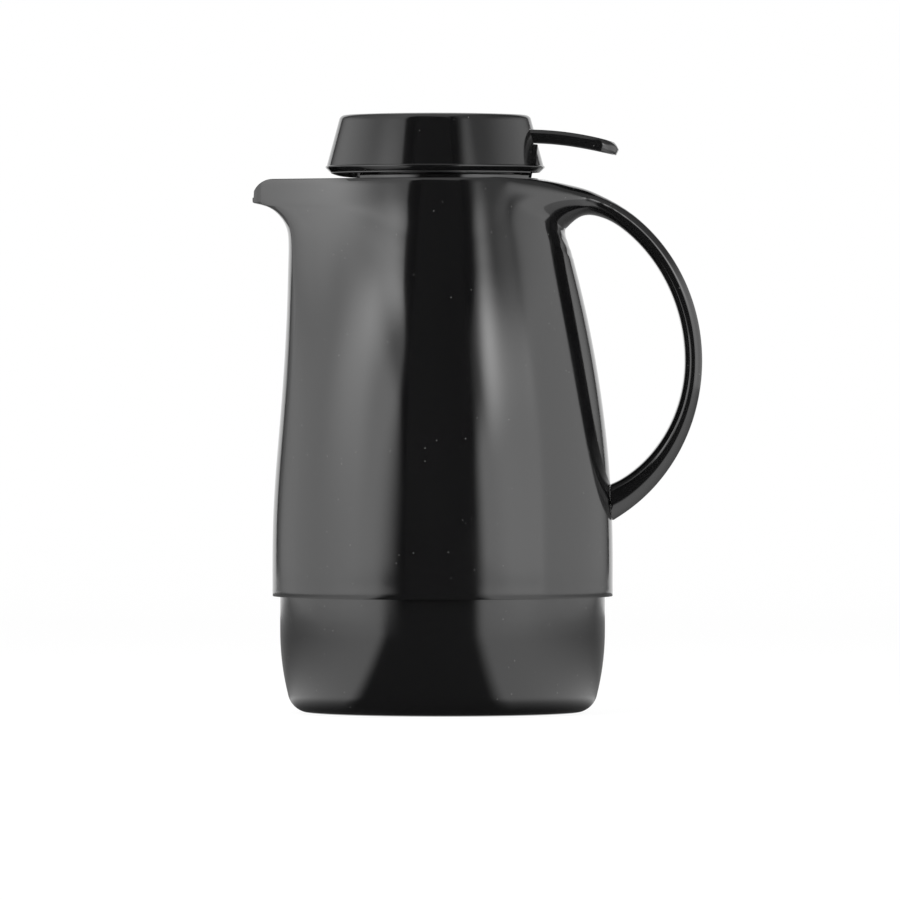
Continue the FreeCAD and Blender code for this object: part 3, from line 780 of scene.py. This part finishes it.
def jacket_hollow():
    """Room for the insert, open at the seam, and the bore of the neck with its flange."""
    flange_z = DECK_Z - 19.0
    flange_r = BORE_R - 4
    low = SEAM_Z - 4
    high = DECK_Z + 6
    walls = [(wall_r(z) - WALL, z) for z in (60, 75, 90, 105, 120, 135, 150, 165, 174)]
    points = [(0, low), (BODY_R - WALL, low)] + walls
    points += [(BORE_R + WALL, flange_z - 4.5), (flange_r, flange_z - 2.5), (flange_r, flange_z)]
    points += [(BORE_R, flange_z), (BORE_R, high), (0, high)]
    return spun(points, 128)


jacket_form = fitted(*jacket_cage())
blend_root(jacket_form)
jacket = cut_away(jacket_form, lip_trim(), pouring_trough(), jacket_hollow())
piece(jacket, "jacket_moulding", "jug", "gloss_black", ["jacket"])

# Base cup
BASE_R = BODY_R - 3.1
BASE_CURVE = 103.0
BASE_CURVE_Z = 32.0
FOOT_Z = 7.2
FOOT_ROUND = 9.0
FOOT_RING = 7.0
RECESS_Z = 1.4
BASE_STEPS = 160


def base_cup_form():
    """Cup with a curved side and a rounded foot, stepped in at the top to go up into the jacket."""

    def side_r(z):
        return BASE_R - BASE_CURVE + math.sqrt(BASE_CURVE**2 - (BASE_CURVE_Z - z) ** 2)

    foot_r = side_r(FOOT_Z)
    ring_r = foot_r - FOOT_ROUND
    recess_r = ring_r - FOOT_RING
    soft_in, soft_out = 0.4, 0.3
    points = [(0, RECESS_Z), (recess_r - soft_in, RECESS_Z), (recess_r, RECESS_Z - soft_in)]
    points += [(recess_r, soft_out), (recess_r + soft_out, 0), (ring_r, 0)]
    foot_mid = (ring_r + FOOT_ROUND * 0.64, FOOT_Z * 0.26)
    points += arc((ring_r, 0), foot_mid, (foot_r, FOOT_Z), 14)
    points += [(side_r(z), z) for z in (9.5, 12, 15, 18, 21, 24, 27, 29.5)]
    up_r = BODY_R - WALL - FREE_GAP
    up_z = SEAM_Z + FREE_GAP
    top_z = SEAM_Z + 15.2
    points += [(BASE_R, BASE_CURVE_Z), (BASE_R, 38), (BASE_R, up_z), (up_r, up_z), (up_r, top_z)]
    in_r = BASE_R - WALL
    points += [(in_r, top_z), (in_r, BASE_CURVE_Z), (in_r - 3, 14.4), (in_r - 9, 6.1), (0, 3.8)]
    return spun(points, BASE_STEPS)


piece(base_cup_form(), "foot_cup", "jug", "gloss_black", ["base_cup"])

# Cap
CAP_X = -2.9
CAP_Z = DECK_Z + 3.1
CAP_R = TOP_R - 0.3
CAP_TOP = CAP_Z + 22.8
CAP_TAPER = 6.0
CAP_CROWN = 0.9
CAP_EDGE = 1.5
CAP_WALL = 2.1
CAP_ROOF = 2.0
CAP_STEPS = 160
RIM_H = 2.5
LEDGE_Z = DECK_Z + 4.1
HINGE_X = TOP_R - 6.0 - 4.2
HINGE_Z = DECK_Z + 5.0

# Thumb lever, which arches down behind the hinge
ROOT_X = HINGE_X - 11.0
LEVER_W = 23.0
LEVER_Z = CAP_Z + 16.1
LEVER_DEEP = 4.9
LEVER_T = 1.6
LEVER_ARCH = 236.0
LEVER_SWELL = 1.2
LEVER_PLAY = 0.2
LEVER_TIP = CAP_X + CAP_R + 28.7
LEVER_SIDES = ((1.2, 0.6), (1.6, 0.5), (2.1, -0.7))


def cap_form():
    """Cone with a chamfered rim and a slightly crowned top, hollow below."""
    edge_z = CAP_TOP - CAP_CROWN
    edge_r = CAP_R - CAP_TAPER
    taper = CAP_TAPER / (edge_z - CAP_Z)
    flat_r = edge_r - CAP_EDGE
    rim_z = CAP_Z - CAP_EDGE / 4
    seat_r = CAP_R - 2.2
    slope_top = (CAP_R - 0.35, rim_z + 1.6)
    rim_mid = (CAP_R - 0.16, rim_z + 1.95)
    rim_end = (CAP_R - taper * RIM_H, rim_z + RIM_H)
    points = [(seat_r, LEDGE_Z), (seat_r, rim_z), (seat_r + 0.2, rim_z), slope_top]
    points += arc(slope_top, rim_mid, rim_end, 6)
    low_r, low_z = points[-1]
    bead_low = (edge_r + CAP_EDGE * taper, edge_z - CAP_EDGE)
    for t in (0.05, 0.35, 0.65, 0.95):
        points.append((low_r + (bead_low[0] - low_r) * t, low_z + (bead_low[1] - low_z) * t))
    points.append(bead_low)
    bead_mid = (edge_r - CAP_EDGE * 0.25, edge_z - CAP_EDGE * 0.27)
    points += arc(bead_low, bead_mid, (flat_r, edge_z), 8)
    dome_r = (flat_r**2 + CAP_CROWN**2) / (2 * CAP_CROWN)
    for t in (0.97, 0.8, 0.6, 0.4, 0.2, 0):
        r = flat_r * t
        points.append((r, CAP_TOP - dome_r + math.sqrt(dome_r**2 - r**2)))
    roof_z = edge_z - CAP_ROOF
    points += [(0, roof_z), (edge_r + taper * CAP_ROOF - CAP_WALL, roof_z)]
    points.append((CAP_R - taper * 1.1 - CAP_WALL, LEDGE_Z))
    return spun(points, CAP_STEPS, CAP_X)


def lever_slot():
    """Opening in the cone for the lever, with play round it."""
    low = LEVER_Z - LEVER_DEEP - 0.8
    high = LEVER_Z + LEVER_PLAY
    half = LEVER_W / 2 + LEVER_PLAY
    past = CAP_R + 4
    return prism([(ROOT_X, low), (past, low), (past, high), (ROOT_X, high)], -half, half, True)


def lever_form():
    """Arched tray with a rounded end and turned-down sides."""
    bm = bmesh.new()
    bmesh.ops.create_grid(bm, x_segments=28, y_segments=10, size=0.5)
    half = LEVER_W / 2 - LEVER_SWELL
    end_r = LEVER_W * 0.4
    end_start = LEVER_TIP - end_r

    def end_x(y):
        return end_start - LEVER_T + end_r * math.sqrt(1 - (y / (LEVER_W / 2)) ** 2)

    def crest(x):
        return LEVER_Z - max(0, x - HINGE_X) ** 2 / LEVER_ARCH

    for v in bm.verts:
        s, t = v.co.x + 0.5, v.co.y * 2
        y = t * half
        v.co = (ROOT_X + (end_x(y) - ROOT_X) * s, y, 0)
        v.co.z = crest(v.co.x)
    rim = [e for e in bm.edges if e.is_boundary]
    for drop, swell in LEVER_SIDES:
        made = bmesh.ops.extrude_edge_only(bm, edges=rim)["geom"]
        for v in new_verts(made):
            front = smooth_share(v.co.x, end_start - 6, LEVER_TIP - 3)
            at_side = abs(v.co.y) > half * 0.6
            side = math.copysign(1 - 0.6 * front, v.co.y) if at_side else 0
            v.co += Vector((front * 1.5, side, 0)) * swell + Vector((0, 0, -drop))
        rim = [e for e in made if isinstance(e, bmesh.types.BMEdge) and e.is_boundary]
    bmesh.ops.recalc_face_normals(bm, faces=bm.faces)
    if sum(f.normal.z * f.calc_area() for f in bm.faces) < 0:
        bmesh.ops.reverse_faces(bm, faces=bm.faces)
    bmesh.ops.solidify(bm, geom=bm.faces[:], thickness=LEVER_T)
    return bm


cap = cut_away(cap_form(), lever_slot())
piece(cap, "cap_cone", "cap", "gloss_black", ["cap_shell"])
piece(lever_form(), "lever_tray", "cap", "gloss_black", ["thumb_lever"], sharp=60)

# Closing spring, wound along the hinge pin, its foot down by the stopper and its arm up by the cap;
# the piece rides on no body
COIL_R = 2.05
SPRING_WIRE = 0.8
SPRING_PITCH = 1.35
SPRING_TURNS = 4
SPRING_HALF = SPRING_PITCH * SPRING_TURNS / 2
FOOT_STEPS = (8, 5, 2.5)
ARM_STEPS = (2, 4, 6)
TURN_STEPS = 24
WIRE_SIDES = 10


def spring_path():
    """Middle line of the wire, from its foot through the turns to its arm."""
    foot = Vector((HINGE_X - COIL_R, -SPRING_HALF, HINGE_Z))
    path = [foot - Vector((0, 0, down)) for down in FOOT_STEPS]
    for i in range(TURN_STEPS * SPRING_TURNS + 1):
        turn = i / TURN_STEPS
        a = math.pi - 2 * math.pi * turn
        x = HINGE_X + COIL_R * math.cos(a)
        z = HINGE_Z + COIL_R * math.sin(a)
        path.append(Vector((x, SPRING_PITCH * turn - SPRING_HALF, z)))
    return path + [path[-1] + Vector((0, 0, up)) for up in ARM_STEPS]


def spring_form():
    """Round wire along the spring's path."""
    path = spring_path()
    bm = bmesh.new()
    ring = bmesh.ops.create_circle(bm, cap_ends=True, radius=1, segments=WIRE_SIDES)["verts"]
    for i, p in enumerate(path):
        if i:
            ring = next_ring(bm, ring)
        way = path[min(i + 1, len(path) - 1)] - path[max(i - 1, 0)]
        side = Vector((0, 1, 0)).cross(way).normalized()
        rise = way.cross(side).normalized()
        for k, v in enumerate(ring):
            a = 2 * math.pi * k / WIRE_SIDES
            v.co = p + (side * math.cos(a) + rise * math.sin(a)) * (SPRING_WIRE / 2)
    bmesh.ops.contextual_create(bm, geom=ring_edges(bm, ring))
    bmesh.ops.recalc_face_normals(bm, faces=bm.faces)
    return bm


spring = piece(spring_form(), "spring_wire", None, "steel", ["closing_spring"], sharp=60)
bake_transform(spring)


# Stage, in metres: white floor, two panels of light beside the jug, and what the gloss mirrors: a
# dark card in front and the table, dark in front, with painted shadow close to the foot and painted
# light beside it

ALL_RAYS = ("camera", "diffuse", "glossy", "shadow")
MIRRORED = ("glossy",)
LIT = ("glossy", "diffuse")
FLOOR_Z = -0.0003
FLOOR_GLOW = 1.08
FLOOR_SHARE = 0.86
TABLE_Z = 0.0004
# Table as mirrored: a dark level, which is also the painted shadow close to the foot, and painted
# light beside the jug
TABLE_DARK = 0.06
TABLE_PAINTED_LIGHT = 1.9
FOOT_SHADOW_REACH = (0.056, 0.076)
PANEL_BLUR_Z = (0.2, 0.7)
PANEL_BACK_Y = (1.5, -0.45)
PANEL_BACK_POWER = 1.35


def stage_plane(name, corners, material, seen):
    """Flat stage piece, seen only by the kinds of ray that are named."""
    bm = bmesh.new()
    bm.faces.new([bm.verts.new(c) for c in corners])
    obj = new_object(bm, name)
    obj.data.materials.append(material)
    obj.visible_camera = "camera" in seen
    obj.visible_diffuse = "diffuse" in seen
    obj.visible_glossy = "glossy" in seen
    obj.visible_shadow = "shadow" in seen
    obj.visible_transmission = "camera" in seen


def upright(x0, y0, x1, y1, z0, z1):
    return [(x0, y0, z0), (x1, y1, z0), (x1, y1, z1), (x0, y0, z1)]


def lying(x0, y0, x1, y1, z):
    return [(x0, y0, z), (x1, y0, z), (x1, y1, z), (x0, y1, z)]


def seen_ray(tree):
    """1 for rays that show a thing itself, also mirrored or through glass, and 0 for its light."""
    path = tree.nodes.new("ShaderNodeLightPath").outputs
    seen = math_node(tree, "MAXIMUM", path["Is Camera Ray"], path["Is Glossy Ray"])
    return math_node(tree, "MAXIMUM", seen, path["Is Transmission Ray"])


def matt_material(name, grain, tones, rough, shine):
    """Matt grey between two tones."""
    mat, tree, shader, where = new_material(name)
    greys = [(tone, tone, tone) for tone in tones]
    colour = mix_colour(tree, noise(tree, where, grain), *greys)
    link(tree, colour, shader.inputs["Base Color"])
    shader.inputs["Roughness"].default_value = rough
    shader.inputs["Specular IOR Level"].default_value = shine
    return mat, tree, shader


def floor_material():
    """White that is mostly its own light where it is seen, so that it stays even."""
    mat, tree, shader = matt_material("floor_white", 3.0, (0.86, 0.9), 0.9, 0.1)
    glow = tree.nodes.new("ShaderNodeEmission")
    glow.inputs["Strength"].default_value = FLOOR_GLOW
    blend = tree.nodes.new("ShaderNodeMixShader")
    link(tree, math_node(tree, "MULTIPLY", seen_ray(tree), FLOOR_SHARE), blend.inputs[0])
    link(tree, shader.outputs[0], blend.inputs[1])
    link(tree, glow.outputs[0], blend.inputs[2])
    link(tree, blend.outputs[0], tree.nodes["Material Output"].inputs["Surface"])
    return mat


def light_material(name):
    """Emission only: its tree, the place on the stage as x, y and z, and the strength to link to."""
    mat = bpy.data.materials.new(name)
    mat.use_nodes = True
    tree = mat.node_tree
    tree.nodes.clear()
    parts = tree.nodes.new("ShaderNodeSeparateXYZ")
    link(tree, tree.nodes.new("ShaderNodeTexCoord").outputs["Object"], parts.inputs[0])
    glow = tree.nodes.new("ShaderNodeEmission")
    out = tree.nodes.new("ShaderNodeOutputMaterial")
    link(tree, glow.outputs[0], out.inputs["Surface"])
    return mat, tree, parts.outputs, glow.inputs["Strength"]


def panel_light(name, strength, edge, lift, blur, top, bend, width, rise, fall):
    """Panel that fades in from its front edge and out to the back and upwards, with a streak.

    The front edge has a slope and a start, and lift moves it; blur is its softness below and above.
    The streak's middle follows bend, and its gain is rise times fall. Four numbers are a smooth
    step along the height: its two places and its values there.
    """
    mat, tree, at, power = light_material(name)
    y, z = at["Y"], at["Z"]
    front = math_node(tree, "MULTIPLY_ADD", z, *edge)
    front = math_node(tree, "ADD", front, soft(tree, z, *lift))
    blurred = soft(tree, z, *PANEL_BLUR_Z, *blur)
    inside = math_node(tree, "DIVIDE", math_node(tree, "SUBTRACT", y, front), blurred)
    glow = math_node(tree, "POWER", ramp(tree, y, *PANEL_BACK_Y), PANEL_BACK_POWER)
    glow = math_node(tree, "MULTIPLY", glow, soft(tree, inside, -1.0, 1.0))
    middle = soft(tree, z, *bend)
    off = math_node(tree, "ABSOLUTE", math_node(tree, "SUBTRACT", y, middle))
    gain = math_node(tree, "MULTIPLY", soft(tree, z, *rise), soft(tree, z, *fall))
    streak = math_node(tree, "MULTIPLY", soft(tree, off, width, 0.0), gain)
    field = math_node(tree, "ADD", streak, soft(tree, z, *top))
    glow = math_node(tree, "MULTIPLY", glow, field)
    link(tree, math_node(tree, "MULTIPLY", glow, strength), power)
    return mat


def table_light():
    """What the gloss mirrors of the table: dark in front, painted shadow close to the foot, painted
    light beside it.
    """
    mat, tree, at, power = light_material("table_mirrored")
    across = math_node(tree, "ARCTAN2", at["X"], math_node(tree, "MULTIPLY", at["Y"], -1))
    turned = math_node(tree, "ABSOLUTE", across)
    # Painted light: the fields left and right of the jug are bright as if lit by the panels
    left = soft(tree, across, math.radians(-36), math.radians(-46))
    right = soft(tree, across, math.radians(20), math.radians(30))
    away = soft(tree, turned, math.radians(45), math.radians(140), 1.0, 0.1)
    sides = math_node(tree, "MULTIPLY", math_node(tree, "MAXIMUM", left, right), away)
    reach = tree.nodes.new("ShaderNodeVectorMath")
    reach.operation = "LENGTH"
    link(tree, tree.nodes.new("ShaderNodeTexCoord").outputs["Object"], reach.inputs[0])
    # Painted contact shadow: the table stays dark close to the foot
    clear = soft(tree, reach.outputs["Value"], *FOOT_SHADOW_REACH)
    bright = math_node(tree, "MULTIPLY", sides, clear)
    link(tree, math_node(tree, "MULTIPLY_ADD", bright, TABLE_PAINTED_LIGHT, TABLE_DARK), power)
    return mat


left_light = panel_light(
    "left_panel_light",
    strength=3.1,
    edge=(-0.45, -1.1),
    lift=(0.75, 0.95, 0.0, 0.5),
    blur=(0.45, 0.06),
    top=(0.62, 0.46, 0.46, 1.0),
    bend=(0.3, 1.3, -0.28, -1.9),
    width=0.42,
    rise=(0.05, 0.8, 0.05, 1.25),
    fall=(1.0, 0.7, 0.0, 1.0),
)
right_light = panel_light(
    "right_panel_light",
    strength=3.0,
    edge=(-0.3, -1.75),
    lift=(0.98, 1.1, 0.0, 0.75),
    blur=(0.35, 0.3),
    top=(0.69, 0.39, 0.23, 1.0),
    bend=(0.0, 1.0, -0.66, -1.31),
    width=0.54,
    rise=(0.28, 0.68, 0.1, 2.4),
    fall=(1.08, 0.6, 0.0, 1.0),
)
dark_card = matt_material("dark_card", 8.0, (0.075, 0.095), 1.0, 0.0)[0]
stage_plane("floor", lying(-6, -6, 6, 6, FLOOR_Z), floor_material(), ALL_RAYS)
stage_plane("left_panel", upright(-0.8, -1.75, -0.8, 1.5, 0.02, 2.2), left_light, LIT)
stage_plane("right_panel", upright(0.8, -2.3, 0.8, 1.5, 0.02, 2.4), right_light, LIT)
stage_plane("front_card", upright(-1.45, -1.8, 1.5, -3.4, 0.0, 2.6), dark_card, MIRRORED)
stage_plane("table", lying(-3, -4, 3, 1.6, TABLE_Z), table_light(), MIRRORED)

# White surroundings, at full strength where they are seen and less as light
WORLD_LIGHT = 0.55
WORLD_SEEN = 0.45
scene = bpy.context.scene
scene.world = bpy.data.worlds.new("studio")
scene.world.use_nodes = True
world_tree = scene.world.node_tree
background = world_tree.nodes["Background"]
background.inputs["Color"].default_value = (1, 1, 1, 1)
shown = math_node(world_tree, "MULTIPLY", seen_ray(world_tree), WORLD_SEEN)
strength = math_node(world_tree, "ADD", shown, WORLD_LIGHT)
link(world_tree, strength, background.inputs["Strength"])

# Camera, far off with a long lens
CAMERA_AT = Vector((0.0029, -4.0, 0.131))
LOOK_AT = Vector((0.0029, 0.0, 0.1024))
camera_data = bpy.data.cameras.new("camera")
camera_data.sensor_width = 36.0
camera_data.lens = 410.0
camera_data.clip_end = 50.0
camera = bpy.data.objects.new("camera", camera_data)
camera.location = CAMERA_AT
camera.rotation_euler = (LOOK_AT - CAMERA_AT).to_track_quat("-Z", "Y").to_euler()
scene.collection.objects.link(camera)
scene.camera = camera
scene.view_settings.view_transform = "Standard"
